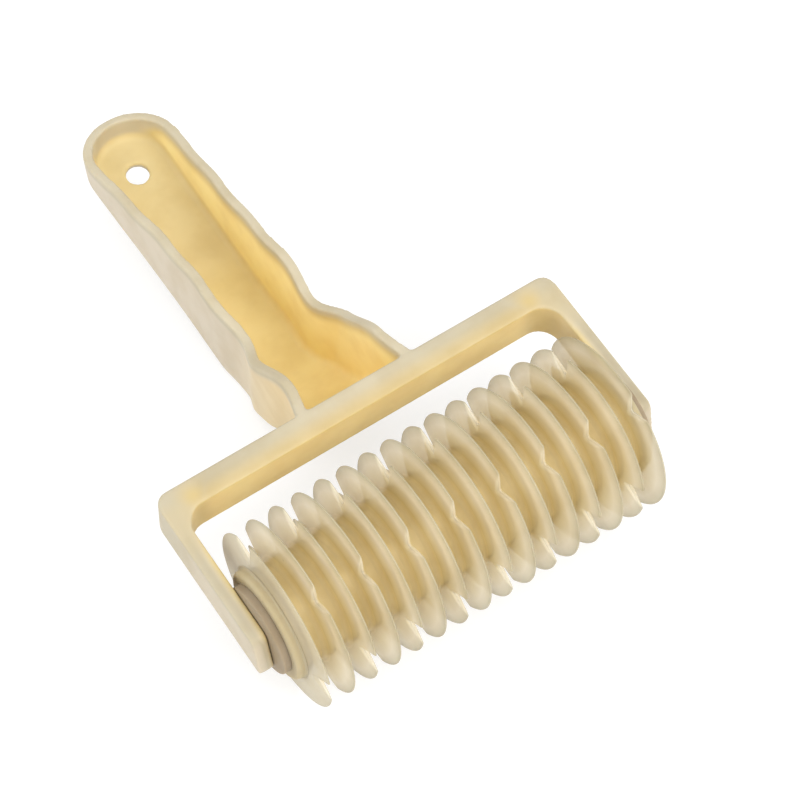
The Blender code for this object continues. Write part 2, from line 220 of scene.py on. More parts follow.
def step_between(tree, value, low, high):
    """0 below low, 1 above high, smooth between them."""
    node = add_node(tree, "ShaderNodeMapRange", interpolation_type="SMOOTHSTEP")
    tree.links.new(value, node.inputs[0])
    node.inputs[1].default_value = low
    node.inputs[2].default_value = high
    return node.outputs[0]


def noise(tree, place, scale, detail=3.0):
    node = add_node(tree, "ShaderNodeTexNoise")
    node.inputs["Scale"].default_value = scale
    node.inputs["Detail"].default_value = detail
    tree.links.new(place, node.inputs["Vector"])
    return node.outputs["Fac"]


def moulded(tree, shader, place, colour, roughness, translucency, reach):
    """Finish of the moulded pieces: cloudy colour, rare specks, uneven gloss, ripples and a soft glow."""
    cloud = step_between(tree, noise(tree, place, CLOUD_SCALE), 0.35, 0.7)
    cloudy = mix_colour(tree, cloud, srgb(255, 255, 255), srgb(246, 243, 236))
    tinted = mix_colour(tree, 1.0, colour, cloudy, "MULTIPLY")

    cells = add_node(tree, "ShaderNodeTexVoronoi")
    cells.inputs["Scale"].default_value = SPECK_SCALE
    tree.links.new(place, cells.inputs["Vector"])
    near = step_between(tree, cells.outputs["Distance"], SPECK_RADIUS, 0.6 * SPECK_RADIUS)
    chosen = step_between(tree, noise(tree, place, SPECK_PATCH_SCALE, 0.0), 0.60, 0.62)
    speck = maths(tree, "MULTIPLY", maths(tree, "MULTIPLY", near, chosen), SPECK_STRENGTH)
    specked = mix_colour(tree, speck, tinted, srgb(150, 122, 80))
    tree.links.new(specked, shader.inputs["Base Color"])

    gloss = add_node(tree, "ShaderNodeMapRange")
    tree.links.new(noise(tree, place, GLOSS_SCALE), gloss.inputs[0])
    gloss.inputs[3].default_value = roughness - 0.06
    gloss.inputs[4].default_value = roughness + 0.08
    tree.links.new(gloss.outputs[0], shader.inputs["Roughness"])

    ripple = add_node(tree, "ShaderNodeBump")
    ripple.inputs["Strength"].default_value = RIPPLE_STRENGTH
    ripple.inputs["Distance"].default_value = RIPPLE_HEIGHT
    tree.links.new(noise(tree, place, RIPPLE_SCALE, 2.0), ripple.inputs["Height"])
    tree.links.new(ripple.outputs["Normal"], shader.inputs["Normal"])

    shader.inputs["Subsurface Weight"].default_value = translucency
    shader.inputs["Subsurface Radius"].default_value = (1.0, 0.85, 0.60)
    shader.inputs["Subsurface Scale"].default_value = reach
    shader.inputs["Specular IOR Level"].default_value = 0.22


def handle_material():
    """Cream plastic with painted light and shade: pale outer faces, greyer tops, a yellow trough, and painted warm
    glow and golden shade in places.

    paint_handle stores how much of each a point has.
    """
    material, tree, shader = blank_material("handle_plastic")
    # Painted light and shade: from pale outer faces and greyer tops to the yellow that stands in for light glowing
    # through the walls deep in the trough
    yellow = colour_ramp(tree, stored(tree, "depth"), (
        (0.0, srgb(208, 196, 175)),
        (0.16, srgb(192, 182, 157)),
        (0.30, srgb(204, 193, 167)),
        (0.6, srgb(225, 206, 149)),
        (1.0, srgb(253, 235, 174)),
    ))
    # Painted warm glow beside the crossbar, on its front face and on the arms' inner faces
    glow_paint = mix_colour(tree, stored(tree, "painted_glow"), yellow, srgb(255, 226, 155))
    # Painted golden shade on the crossbar's top towards its front edge, and a small golden spot near each arm
    colour = mix_colour(tree, stored(tree, "painted_gold_shade"), glow_paint, srgb(208, 184, 126))
    moulded(tree, shader, object_place(tree), colour, roughness=0.48, translucency=0.2, reach=3.0 * MM)
    return material


def core_material():
    """Deep gold of the thick hubs, in two close colours."""
    material, tree, shader = blank_material("core_plastic")
    place = object_place(tree)
    patches = step_between(tree, noise(tree, place, 160.0), 0.3, 0.7)
    colour = mix_colour(tree, patches, srgb(204, 184, 136), srgb(197, 176, 125))
    moulded(tree, shader, place, colour, roughness=0.45, translucency=0.0, reach=3.0 * MM)
    return material


def collar_material():
    """Plastic of the end collars: painted shade makes it greyer beside the washer, painted light paler where it
    flares into the first blade.
    """
    material, tree, shader = blank_material("collar_plastic")
    # Painted light and shade: darker towards the washer, paler at the flare
    colour = colour_ramp(tree, maths(tree, "ADD", stored(tree, "reach"), 0.5), (
        (0.30, srgb(176, 160, 126)),
        (0.52, srgb(178, 163, 129)),
        (0.64, srgb(186, 172, 138)),
        (0.73, srgb(204, 191, 159)),
    ))
    moulded(tree, shader, object_place(tree), colour, roughness=0.5, translucency=0.5, reach=4.0 * MM)
    return material


def washer_material():
    """Grey-brown plastic of the washers, in two close colours."""
    material, tree, shader = blank_material("washer_plastic")
    place = object_place(tree)
    colour = mix_colour(tree, noise(tree, place, 60.0), srgb(163, 148, 125), srgb(152, 135, 111))
    moulded(tree, shader, place, colour, roughness=0.55, translucency=0.4, reach=3.0 * MM)
    return material


def blade_material():
    """Milky plastic of the blades: nearly solid at the hub, then half clear up to the cool edge; the colour
    carries painted light and shade.
    """
    material, tree, shader = blank_material("blade_plastic")
    place = object_place(tree)
    reach = stored(tree, "reach")
    # Painted light and shade: gold at the hub, a near-white middle that stands in for light through the thin
    # blades, and a greyer edge painted darker against its highlight
    by_reach = colour_ramp(tree, reach, (
        (0.0, srgb(212, 192, 142)),
        (0.14, srgb(246, 229, 178)),
        (0.38, srgb(255, 244, 208)),
        (0.72, srgb(255, 248, 230)),
        (0.93, srgb(220, 212, 187)),
        (1.0, srgb(192, 184, 157)),
    ))
    # Painted shade: the outer faces of the two end blades, which no neighbour shades, are darkened
    axes = add_node(tree, "ShaderNodeSeparateXYZ")
    tree.links.new(place, axes.inputs[0])
    from_middle = maths(tree, "ABSOLUTE", axes.outputs[0])
    end_face_shade = step_between(tree, from_middle, LAST_DISC_X, LAST_DISC_X + 0.3 * MM)
    colour = mix_colour(tree, end_face_shade, by_reach, srgb(207, 197, 172))
    moulded(tree, shader, place, colour, roughness=0.45, translucency=0.0, reach=2.0 * MM)

    stops = [(where, grey(level)) for where, level in ((0.02, 0.86), (0.16, 0.54), (0.95, 0.62))]
    clear = add_node(tree, "ShaderNodeBsdfTransparent")
    clear.inputs["Color"].default_value = srgb(255, 253, 248)
    both = add_node(tree, "ShaderNodeMixShader")
    tree.links.new(colour_ramp(tree, reach, stops), both.inputs[0])
    tree.links.new(clear.outputs[0], both.inputs[1])
    tree.links.new(shader.outputs[0], both.inputs[2])
    tree.links.new(both.outputs[0], tree.nodes["Material Output"].inputs["Surface"])
    return material


# Shapes

def boolean(obj, tool, operation):
    modifier = obj.modifiers.new(operation.title(), "BOOLEAN")
    modifier.operation = operation
    modifier.solver = "EXACT"
    modifier.object = tool


def evaluated_mesh(obj):
    depsgraph = bpy.context.evaluated_depsgraph_get()
    return bpy.data.meshes.new_from_object(obj.evaluated_get(depsgraph))


def link(obj):
    bpy.context.scene.collection.objects.link(obj)
    return obj


def discard(objects):
    for obj in objects:
        bpy.data.objects.remove(obj, do_unlink=True)


def mesh_object(name, work):
    mesh = bpy.data.meshes.new(name)
    bmesh.ops.recalc_face_normals(work, faces=work.faces)
    work.to_mesh(mesh)
    work.free()
    return link(bpy.data.objects.new(name, mesh))


def arc_points(centre, radius, start, end, segments):
    points = []
    for i in range(segments + 1):
        angle = math.radians(start + (end - start) * i / segments)
        points.append((centre[0] + radius * math.cos(angle), centre[1] + radius * math.sin(angle)))
    return points


def prism(name, points, depth, matrix):
    """A flat outline extruded by half its depth to both sides of its plane."""
    work = bmesh.new()
    low = [work.verts.new((x, y, -depth / 2)) for x, y in points]
    high = [work.verts.new((x, y, depth / 2)) for x, y in points]
    work.faces.new(low[::-1])
    work.faces.new(high)
    for i in range(len(points)):
        j = (i + 1) % len(points)
        work.faces.new((low[i], low[j], high[j], high[i]))
    bmesh.ops.triangulate(work, faces=work.faces)
    bmesh.ops.transform(work, matrix=matrix, verts=work.verts)
    return mesh_object(name, work)


def rod(name, radius, length, matrix, segments):
    work = bmesh.new()
    bmesh.ops.create_cone(
        work, cap_ends=True, segments=segments, radius1=radius, radius2=radius, depth=length
    )
    bmesh.ops.transform(work, matrix=matrix, verts=work.verts)
    return mesh_object(name, work)


def along_x(x):
    return Matrix.Translation((x, 0.0, 0.0)) @ Matrix.Rotation(math.pi / 2, 4, "Y")


def curve_through(knots, y):
    """Value at y of a smooth curve through (place, value) knots that never swings past them."""
    if y <= knots[0][0]:
        return knots[0][1]
    if y >= knots[-1][0]:
        return knots[-1][1]
    steps = [(b[1] - a[1]) / (b[0] - a[0]) for a, b in zip(knots, knots[1:])]
    slopes = [steps[0]]
    for before, after in zip(steps, steps[1:]):
        slopes.append(2 * before * after / (before + after) if before * after > 0 else 0.0)
    slopes.append(steps[-1])
    i = max(k for k in range(len(steps)) if knots[k][0] <= y)
    span = knots[i + 1][0] - knots[i][0]
    t = (y - knots[i][0]) / span
    return (
        (2 * t**3 - 3 * t**2 + 1) * knots[i][1]
        + (t**3 - 2 * t**2 + t) * span * slopes[i]
        + (3 * t**2 - 2 * t**3) * knots[i + 1][1]
        + (t**3 - t**2) * span * slopes[i + 1]
    )


def in_mm(pairs):
    return [(place * MM, value * MM) for place, value in pairs]


# Handle: heights of the rim and the back, and half widths at rim and foot, in mm behind the crossbar
RIM = in_mm([(0, 6.5), (10, 4.7), (24, -7.5), (36, -14.0), (48, -13.5), (62, -15.9), (125, -33.7)])
BACK = in_mm([(0, -6.5), (18, -33.0), (42, -43.0), (125, -43.0)])
WIDTH = in_mm([(0, 17.4), (10, 15.3), (24, 15.2), (36, 11.8), (48, 13.2), (62, 12.6), (111, 14.0)])
FOOT = in_mm([(0, 17.4), (10, 15.3), (24, 15.0), (31, 12.9), (36, 12.7), (44, 13.4), (62, 13.2), (111, 14.0)])

# Finger waves along the rim, in the part with straight walls
WAVES_START = 48.0 * MM
WAVE_LENGTH = 20.0 * MM
WAVE_IN_MM = 0.3


def half_width(y, foot=False):
    """Half the handle's width at a distance behind the crossbar, at the rim or at the foot of its walls."""
    if foot:
        return curve_through(FOOT, y)
    width = curve_through(WIDTH, y)
    if WAVES_START < y < ARC_START:
        along = y - WAVES_START
        fade = math.sin(math.pi * along / (ARC_START - WAVES_START)) ** 0.5
        width += fade * WAVE_IN_MM * MM * math.cos(2 * math.pi * along / WAVE_LENGTH)
    return width


def handle_outline(foot):
    """Half of the rim or the foot in plan, as (x, y) with x outwards, from inside the crossbar to the tip."""
    stations = 72
    points = [(half_width(0.0), -BAR_THICKNESS / 2)]
    for i in range(stations + 1):
        y = ARC_START * i / stations
        points.append((half_width(y, foot), y))
    return points + arc_points((0.0, ARC_START), HANDLE_END_RADIUS, 0.0, 90.0, 18)[1:]


def inset_outline(points, distance):
    """The outline moved inwards by a distance, without crossing the middle of the handle."""
    moved = []
    for i, (x, y) in enumerate(points):
        low = points[max(i - 1, 0)]
        high = points[min(i + 1, len(points) - 1)]
        along = Vector((high[0] - low[0], high[1] - low[1])).normalized()
        if i == 0:
            along = Vector((0.0, 1.0))
        if i == len(points) - 1:
            along = Vector((-1.0, 0.0))
        moved.append((max(x - along.y * distance, 0.0), y + along.x * distance))
    moved[-1] = (0.0, moved[-1][1])
    return moved


def trough_block(name, rim_inset, edge_radius, top_rise, floor_rise, front):
    """Closed loft from the handle's rim to its back, narrower than the rim by an inset on each side.

    It starts at front, counted from the back of the crossbar. The rises lift its top and its floor, and
    edge_radius rounds it where the walls meet the floor.
    """
    edge_steps = 6
    foot_inset = rim_inset + WALL_DRAFT
    chains = [(rim_inset, None)]
    for i in range(edge_steps + 1):
        turn = math.radians(90.0 * i / edge_steps)
        chains.append((foot_inset + edge_radius * (1 - math.cos(turn)), edge_radius * (1 - math.sin(turn))))
    sides = {}
    for side in (-1, 1):
        columns = []
        for inset, lift in chains:
            outline = handle_outline(lift is not None)
            column = []
            for (x, y), (_, base_y) in zip(inset_outline(outline, inset), outline):
                height = curve_through(RIM, base_y) + top_rise
                if lift is not None:
                    height = curve_through(BACK, y) + floor_rise + lift
                column.append(Vector((side * x, BAR_BACK + (front if base_y < 0.0 else y), height)))
            columns.append(column)
        sides[side] = columns
    work = bmesh.new()
    rings = []
    for i in range(len(sides[1][0])):
        right = [column[i] for column in sides[1]]
        left = [column[i] for column in sides[-1]]
        rings.append([work.verts.new(p) for p in left + right[::-1]])
    count = len(rings[0])
    for ring, following in zip(rings, rings[1:]):
        for j in range(count):
            k = (j + 1) % count
            work.faces.new((ring[j], ring[k], following[k], following[j]))
    work.faces.new(rings[0])
    bmesh.ops.remove_doubles(work, verts=work.verts, dist=0.00001)
    bmesh.ops.triangulate(work, faces=work.faces)
    return mesh_object(name, work)


def yoke_plan():
    half = FRAME_WIDTH / 2
    front = -ARM_FOOT_PAST_AXLE - OVERRUN
    outer = OUTER_CORNER_RADIUS
    inner = INNER_CORNER_RADIUS
    points = [(-half, front)]
    points += arc_points((-half + outer, BAR_BACK - outer), outer, 180.0, 90.0, 10)
    points += arc_points((half - outer, BAR_BACK - outer), outer, 90.0, 0.0, 10)
    points += [(half, front), (ARM_INNER, front)]
    points += arc_points((ARM_INNER - inner, AXLE_TO_BAR - inner), inner, 0.0, 90.0, 14)
    points += arc_points((-ARM_INNER + inner, AXLE_TO_BAR - inner), inner, 90.0, 180.0, 14)
    points += [(-ARM_INNER, front)]
    return points[::-1]


def rounded_corner(before, corner, after, radius, segments):
    """Points on the arc that rounds a corner between two straight edges."""
    corner = Vector(corner)
    inward = (Vector(before) - corner).normalized()
    outward = (Vector(after) - corner).normalized()
    half_angle = inward.angle(outward) / 2
    centre = corner + (inward + outward).normalized() * radius / math.sin(half_angle)
    start = corner + inward * radius / math.tan(half_angle) - centre
    sweep = math.copysign(math.pi - 2 * half_angle, outward.x * inward.y - outward.y * inward.x)
    return [tuple(centre + Matrix.Rotation(sweep * i / segments, 2) @ start) for i in range(segments + 1)]


def yoke_side():
    half = YOKE_HEIGHT / 2
    corners = [
        (-ARM_FOOT_PAST_AXLE, -half, ARM_FOOT_RADIUS, 6),
        (-ARM_TOP_PAST_AXLE, half, ARM_TOP_RADIUS, 10),
        (BAR_BACK, half, SOFT_EDGE, 5),
        (BAR_BACK, -half, SOFT_EDGE, 5),
    ]
    points = []
    for i, (y, z, radius, segments) in enumerate(corners):
        before = corners[i - 1][:2]
        after = corners[(i + 1) % len(corners)][:2]
        points += rounded_corner(before, (y, z), after, radius, segments)
    return points[::-1]


def smooth_range(value, low, high):
    t = min(max((value - low) / (high - low), 0.0), 1.0)
    return t * t * (3 - 2 * t)


def trough_paint(x, z, behind):
    """Shares of yellow, painted glow and painted golden shade at a point of the trough: painted light from greyish
    rims to the yellow inside.
    """
    along = max(behind, 0.0)
    below = curve_through(RIM, along) - z
    wall = half_width(along)
    reach = abs(x)
    if behind > ARC_START:
        wall = HANDLE_END_RADIUS
        reach = math.hypot(x, behind - ARC_START)
    sheltered = smooth_range(reach, wall - 0.8 * MM, wall - 2.6 * MM)
    above_floor = z - curve_through(BACK, behind) - FLOOR_THICKNESS
    on_wall = smooth_range(above_floor, 0.8 * MM, 3.2 * MM)
    # Painted light: less yellow on the floor further back and on the walls of the rounded end
    full = 1.0 - 0.46 * (1 - on_wall) * smooth_range(behind, 16.0 * MM, 80.0 * MM)
    full -= 0.74 * on_wall * smooth_range(behind, ARC_START, HANDLE_RUN - 4.0 * MM)
    inner = RIM_YELLOW + (full - RIM_YELLOW) * smooth_range(below, 0.3 * MM, 7.0 * MM)
    outer = RIM_YELLOW * smooth_range(below, 4.0 * MM, 0.3 * MM)
    yellow = outer + (inner - outer) * sheltered
    # Painted light: the underside of the back is much less yellow
    if z < curve_through(BACK, behind) + 1.4 * MM:
        yellow *= 0.4
    near_bar = smooth_range(behind, 44.0 * MM, 8.0 * MM)
    # Painted warm glow beside the crossbar, inside the trough and on its outer walls
    glow_paint = PAINTED_GLOW * sheltered * near_bar * smooth_range(below, 3.0 * MM, 12.0 * MM)
    glow_paint += PAINTED_GLOW * (1 - sheltered) * near_bar * smooth_range(below, 1.0 * MM, 5.0 * MM)
    return yellow, glow_paint, 0.0


def yoke_paint(x, y, z):
    """Shares of yellow, painted glow and painted golden shade at a point of the crossbar or of an arm."""
    half = YOKE_HEIGHT / 2
    across = smooth_range(y, BAR_BACK - 1.8 * MM, AXLE_TO_BAR + 0.6 * MM)
    down = smooth_range(z, half + 0.2 * MM, half - 1.0 * MM)
    middle = smooth_range(abs(x), 58.0 * MM, 44.0 * MM)
    near_handle = smooth_range(abs(x + 4.0 * MM), 34.0 * MM, 6.0 * MM)
    front = across * down * smooth_range(abs(x), 59.4 * MM, 55.6 * MM)
    spot = math.exp(-((abs(x) - 51.0 * MM) ** 2 + (y - 36.5 * MM) ** 2) / (2 * (2.6 * MM) ** 2))
    # Painted light and shade on the crossbar: a greyer top, a painted yellow and warm glow on its front face, and
    # a painted golden shade on its top towards the front
    bar_yellow = 0.15 + 0.12 * near_handle + front * (0.30 + 0.35 * middle)
    bar_glow_paint = front * (0.35 + 0.42 * middle)
    bar_gold_shade_paint = max(across * (1 - down) * (0.25 + 0.45 * middle), 0.8 * spot)

    inner_face = smooth_range(abs(x), ARM_INNER + 2.6 * MM, ARM_INNER + 0.2 * MM)
    edge = smooth_range(abs(x), ARM_INNER + 0.8 * MM, ARM_INNER)
    top = smooth_range(z, half - 3.0 * MM, half)
    # Painted light and shade on the arms: greyer tops, and a painted yellow and warm glow on their inner faces and
    # edges
    arm_yellow = 0.04 + 0.12 * top + 0.36 * inner_face
    arm_glow_paint = 0.12 * inner_face + 0.14 * edge

    bar = smooth_range(y, AXLE_TO_BAR - 16.0 * MM, AXLE_TO_BAR - 2.0 * MM)
    yellow = arm_yellow + (bar_yellow - arm_yellow) * bar
    glow_paint = arm_glow_paint + (bar_glow_paint - arm_glow_paint) * bar
    return yellow, glow_paint, bar_gold_shade_paint * bar


def paint_handle(mesh):
    """Stores the three shares of painted light and shade that the handle's material mixes at each point of its
    mesh.
    """
    names = ("depth", "painted_glow", "painted_gold_shade")
    for name in names:
        mesh.attributes.new(name, "FLOAT", "POINT")
    layers = [mesh.attributes[name].data for name in names]
    for i, vertex in enumerate(mesh.vertices):
        x, y, z = vertex.co
        behind = y - BAR_BACK
        shares = trough_paint(x, z, behind) if behind > -0.2 * MM else yoke_paint(x, y, z)
        for layer, share in zip(layers, shares):
            layer[i].value = share


def build_handle(material):
    """Crossbar and arms joined to the hollow trough, bored for hook and journals, with softened edges."""
    side_on = Matrix(((0, 0, 1, 0), (1, 0, 0, 0), (0, 1, 0, 0), (0, 0, 0, 1)))
    body = prism("handle_body", yoke_plan(), YOKE_HEIGHT + OVERRUN, Matrix())
    side = prism("yoke_side_cut", yoke_side(), FRAME_WIDTH + OVERRUN, side_on)
    shell = trough_block("handle_shell_cut", 0.0, BACK_EDGE_RADIUS, 0.0, 0.0, -BAR_THICKNESS / 2)
    hollow = trough_block(
        "handle_hollow_cut", HANDLE_WALL, FLOOR_EDGE_RADIUS, OVERRUN, FLOOR_THICKNESS, -BAR_THICKNESS
    )
    hole_y = BAR_BACK + HANDLE_RUN - HANGING_HOLE_FROM_END
    place = Matrix.Translation((0.0, hole_y, FLOOR_THICKNESS / 2 - BACK_DEPTH))
    hole = rod("hanging_hole_cut", HANGING_HOLE_DIAMETER / 2, FLOOR_THICKNESS + 2 * OVERRUN, place, 48)
    tools = [side, shell, hollow, hole]
    boolean(shell, hollow, "DIFFERENCE")
    boolean(body, side, "INTERSECT")
    boolean(body, shell, "UNION")
    boolean(body, hole, "DIFFERENCE")
    for sign in (-1, 1):
        middle = sign * (ARM_INNER + SOCKET_DEPTH / 2 - OVERRUN / 2)
        radius = JOURNAL_DIAMETER / 2 + CLEARANCE
        socket = rod("socket_cut", radius, SOCKET_DEPTH + OVERRUN, along_x(middle), 48)
        boolean(body, socket, "DIFFERENCE")
        tools.append(socket)
    remesh = body.modifiers.new("Soften", "REMESH")
    remesh.mode = "VOXEL"
    remesh.voxel_size = VOXEL
    smooth = body.modifiers.new("Relax", "SMOOTH")
    smooth.factor = 0.5
    smooth.iterations = SMOOTHING_ROUNDS
    mesh = evaluated_mesh(body)
    discard(tools + [body])
    paint_handle(mesh)
    mesh.materials.clear()
    mesh.materials.append(material)
    mesh.shade_smooth()
    mesh.transform(YOKE)
    handle = link(bpy.data.objects.new("moulded_handle", mesh))
    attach(handle, "handle")
    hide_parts("handle_frame")


def notch_radius(angle):
    """Radius of the disc's outline at an angle in degrees, with a notch centred on each third of a turn."""
    period = 360.0 / NOTCH_COUNT
    off = abs((angle + period / 2) % period - period / 2)
    floor_radius = DISC_RADIUS - NOTCH_DEPTH
    flare = (NOTCH_WIDTH - NOTCH_FLOOR) / 2 / NOTCH_DEPTH
    turn = math.radians(off)
    if math.tan(turn) * floor_radius <= NOTCH_FLOOR / 2:
        return floor_radius / math.cos(turn)
    slack = math.sin(turn) - flare * math.cos(turn)
    if slack >= -1e-6:
        return DISC_RADIUS
    return min(DISC_RADIUS, (NOTCH_FLOOR / 2 - flare * floor_radius) / slack)


def soft_notch_radius(angle):
    """The same outline with its corners eased."""
    offsets = [-1.0, -0.5, 0.0, 0.5, 1.0]
    weights = [1.0, 2.0, 3.0, 2.0, 1.0]
    return sum(w * notch_radius(angle + o) for o, w in zip(offsets, weights)) / sum(weights)


def disc_angles():
    """Angles of the disc's spokes: close together at the notches and wider apart between them."""
    angles = []
    period = 360.0 / NOTCH_COUNT
    near_count = round(2 * NEAR_NOTCH / NEAR_STEP) + 1
    far_span = period - 2 * NEAR_NOTCH
    for i in range(NOTCH_COUNT):
        near = [-NEAR_NOTCH + NEAR_STEP * k for k in range(near_count)]
        far = [NEAR_NOTCH + far_span * k / FAR_STEPS for k in range(1, FAR_STEPS)]
        angles += [i * period + a for a in near + far]
    return angles


def half_thickness(radius):
    """Half the blade's thickness: widest at the hub, thin at the edge, with a slight belly between them."""
    t = min(max((radius - HUB_RADIUS) / (DISC_RADIUS - HUB_RADIUS), 0.0), 1.0)
    straight = WEB_THICKNESS / 2 + (EDGE_THICKNESS - WEB_THICKNESS) / 2 * t
    above = min(max(radius - HUB_RADIUS, 0.0), FILLET)
    fillet = FILLET - math.sqrt(FILLET ** 2 - (FILLET - above) ** 2)
    return straight + BELLY * math.sin(math.pi * t) + fillet


def blade_chain(angle):
    """Half of the blade's section at an angle, from inside the hub to the cutting edge, as (radius, x)."""
    edge = soft_notch_radius(angle) - EDGE_TRIM
    thin = EDGE_THICKNESS / 2 * 0.8
    shoulder = edge - BEVEL
    last = edge - thin
    wide = half_thickness(HUB_RADIUS)
    chain = [(HUB_RADIUS - 0.4 * MM, wide + 0.5 * MM), (HUB_RADIUS - 0.02 * MM, wide + 0.3 * MM)]
    for u in (0.008, 0.04, 0.10, 0.19, 0.31, 0.45, 0.62, 0.81, 1.0):
        chain.append((HUB_RADIUS + FILLET * u, half_thickness(HUB_RADIUS + FILLET * u)))
    root = HUB_RADIUS + FILLET
    for u in (0.16, 0.33, 0.50, 0.67, 0.84, 1.0):
        radius = root + (shoulder - root) * u
        chain.append((radius, half_thickness(radius)))
    for u in (0.5, 1.0):
        radius = shoulder + (last - shoulder) * u
        chain.append((radius, half_thickness(shoulder) * (1 - u) + thin * u))
    for k in (1, 2, 3):
        turn = math.radians(30.0 * k)
        chain.append((last + thin * math.sin(turn), thin * math.cos(turn)))
    return chain


def hub_chain(hub_left, hub_right):
    """Section of the hub from the bore round its outside, as (radius, x)."""
    return [(HUB_BORE, hub_right), (HUB_RADIUS, hub_right), (HUB_RADIUS, -hub_left), (HUB_BORE, -hub_left)]


def sweep_rings(work, sections, angles, slot):
    """Joins closed sections, one for each angle about X, into a ring with the material in a slot."""
    rings = []
    for section, angle in zip(sections, angles):
        turn = math.radians(angle)
        ring = []
        for radius, x in section:
            ring.append(work.verts.new((x, radius * math.cos(turn), radius * math.sin(turn))))
        rings.append(ring)
    for i, ring in enumerate(rings):
        following = rings[(i + 1) % len(rings)]
        for j in range(len(ring)):
            k = (j + 1) % len(ring)
            face = work.faces.new((ring[j], ring[k], following[k], following[j]))
            face.material_index = slot


def placed(name, work, matrix, materials, sharp):
    """Object whose mesh lies where it belongs, with each point's distance from the roller's axis stored."""
    mesh = bpy.data.meshes.new(name)
    bmesh.ops.recalc_face_normals(work, faces=work.faces)
    work.to_mesh(mesh)
    work.free()
    reach = mesh.attributes.new("reach", "FLOAT", "POINT")
    for i, vertex in enumerate(mesh.vertices):
        radius = math.hypot(vertex.co.y, vertex.co.z)
        reach.data[i].value = (radius - HUB_RADIUS) / (DISC_RADIUS - HUB_RADIUS)
    mesh.transform(matrix)
    mesh.shade_smooth()
    mesh.set_sharp_from_angle(angle=math.radians(sharp))
    for material in materials:
        mesh.materials.append(material)
    return link(bpy.data.objects.new(name, mesh))


def shade_blade_edges(disc, spokes, points):
    """Raises the stored reach on the seven edge points of each blade section, the first in the mesh, so the
    notches' walls take the rim's darker colour as painted shade.
    """
    reach = disc.data.attributes["reach"].data
    middle = points // 2
    for i in range(spokes):
        for j in range(middle - 3, middle + 4):
            point = reach[i * points + j]
            point.value = max(point.value, NOTCH_EDGE_REACH)


def build_discs(core, blade):
    """Sixteen discs, each a hub and a blade, every other one turned by half the space between notches."""
    web = WEB_THICKNESS / 2
    hub = DISC_PITCH / 2
    spokes = disc_angles()
    for i in range(DISC_COUNT):
        hub_left = web if i == 0 else hub
        hub_right = web if i == DISC_COUNT - 1 else hub
        work = bmesh.new()
        sections = []
        for angle in spokes:
            half = blade_chain(angle)
            sections.append(half + [(r, -x) for r, x in half[:-1]][::-1])
        sweep_rings(work, sections, spokes, 1)
        sweep_rings(work, [hub_chain(hub_left, hub_right)] * len(RING_TURNS), RING_TURNS, 0)
        turn = math.radians(180.0 - FIRST_NOTCH_ANGLE + (i % 2) * 180.0 / NOTCH_COUNT)
        place = Matrix.Translation((i * DISC_PITCH - LAST_DISC_X, 0.0, 0.0))
        matrix = YOKE @ place @ Matrix.Rotation(turn, 4, "X")
        disc = placed("disc_%02d" % (i + 1), work, matrix, [core, blade], 50)
        shade_blade_edges(disc, len(spokes), len(sections[0]))
        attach(disc, "roller")
        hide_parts("cutter_disc_%02d" % (i + 1))


def washer_section(sign):
    """Section of the washer, rounded on its outer face and resting on the collar, as (radius, x)."""
    half = WASHER_THICKNESS / 2 + WASHER_RISE
    soft = WASHER_SOFT_EDGE
    bore = JOURNAL_DIAMETER / 2 + CLEARANCE
    chain = [(bore, half), (WASHER_RADIUS - soft, half)]
    for k in range(1, 6):
        turn = math.radians(18.0 * k)
        chain.append((WASHER_RADIUS - soft + soft * math.sin(turn), half - soft + soft * math.cos(turn)))
    seat = WASHER_THICKNESS / 2 + CLEARANCE
    chain += [(WASHER_RADIUS, -seat), (bore, -seat)]
    return [(radius, sign * x) for radius, x in chain]


def collar_section(sign):
    """Section of the collar: rounded on its outer face, and flared where it meets the first blade."""
    half = COLLAR_THICKNESS / 2
    soft = COLLAR_SOFT_EDGE
    flare = COLLAR_FLARE
    inner = half + CLEARANCE
    top = COLLAR_RADIUS - COLLAR_TRIM
    chain = [(COLLAR_BORE, half), (top - soft, half)]
    for k in range(1, 7):
        turn = math.radians(15.0 * k)
        chain.append((top - soft + soft * math.sin(turn), half - soft + soft * math.cos(turn)))
    for k in range(6):
        turn = math.radians(18.0 * k)
        chain.append((top + flare * (1 - math.cos(turn)), -inner + flare * (1 - math.sin(turn))))
    chain += [(top + flare, -inner), (COLLAR_BORE, -inner)]
    return [(radius, sign * x) for radius, x in chain]


def soft_ring(name, x, chain, material):
    """A ring about the roller's axis."""
    work = bmesh.new()
    sweep_rings(work, [chain] * len(RING_TURNS), RING_TURNS, 0)
    bmesh.ops.remove_doubles(work, verts=work.verts, dist=0.000001)
    return placed(name, work, YOKE @ Matrix.Translation((x, 0.0, 0.0)), [material], 40)


def build_end_rings(collar_finish, washer_finish):
    """Collar and washer at each end of the roller."""
    for side, sign in (("left", -1), ("right", 1)):
        collar = soft_ring("collar_" + side, sign * COLLAR_X, collar_section(sign), collar_finish)
        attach(collar, "roller")
        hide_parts("end_collar_" + side)
        washer = soft_ring("thrust_washer_" + side, sign * WASHER_X, washer_section(sign), washer_finish)
        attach(washer, "roller")
        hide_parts("washer_" + side)


# Surroundings

FLOOR_SIZE = 3.0
FLOOR_DROP = 0.2 * MM
FLOOR_GLOW = 0.66
FLOOR_LEVEL = 0.90
FLOOR_LEVEL_SEEN = 0.40
WORLD_LIGHT = 0.74

# Name, place in metres, width in metres and power in watts
LAMPS = (
    ("key", (-0.35, -0.60, 1.86), 0.8, 5.5),
    ("side", (-1.90, -1.10, 1.15), 1.6, 10.0),
    ("back", (-1.50, 1.20, 1.45), 1.4, 9.0),
    ("front", (0.55, -1.55, 1.35), 1.0, 20.5),
)

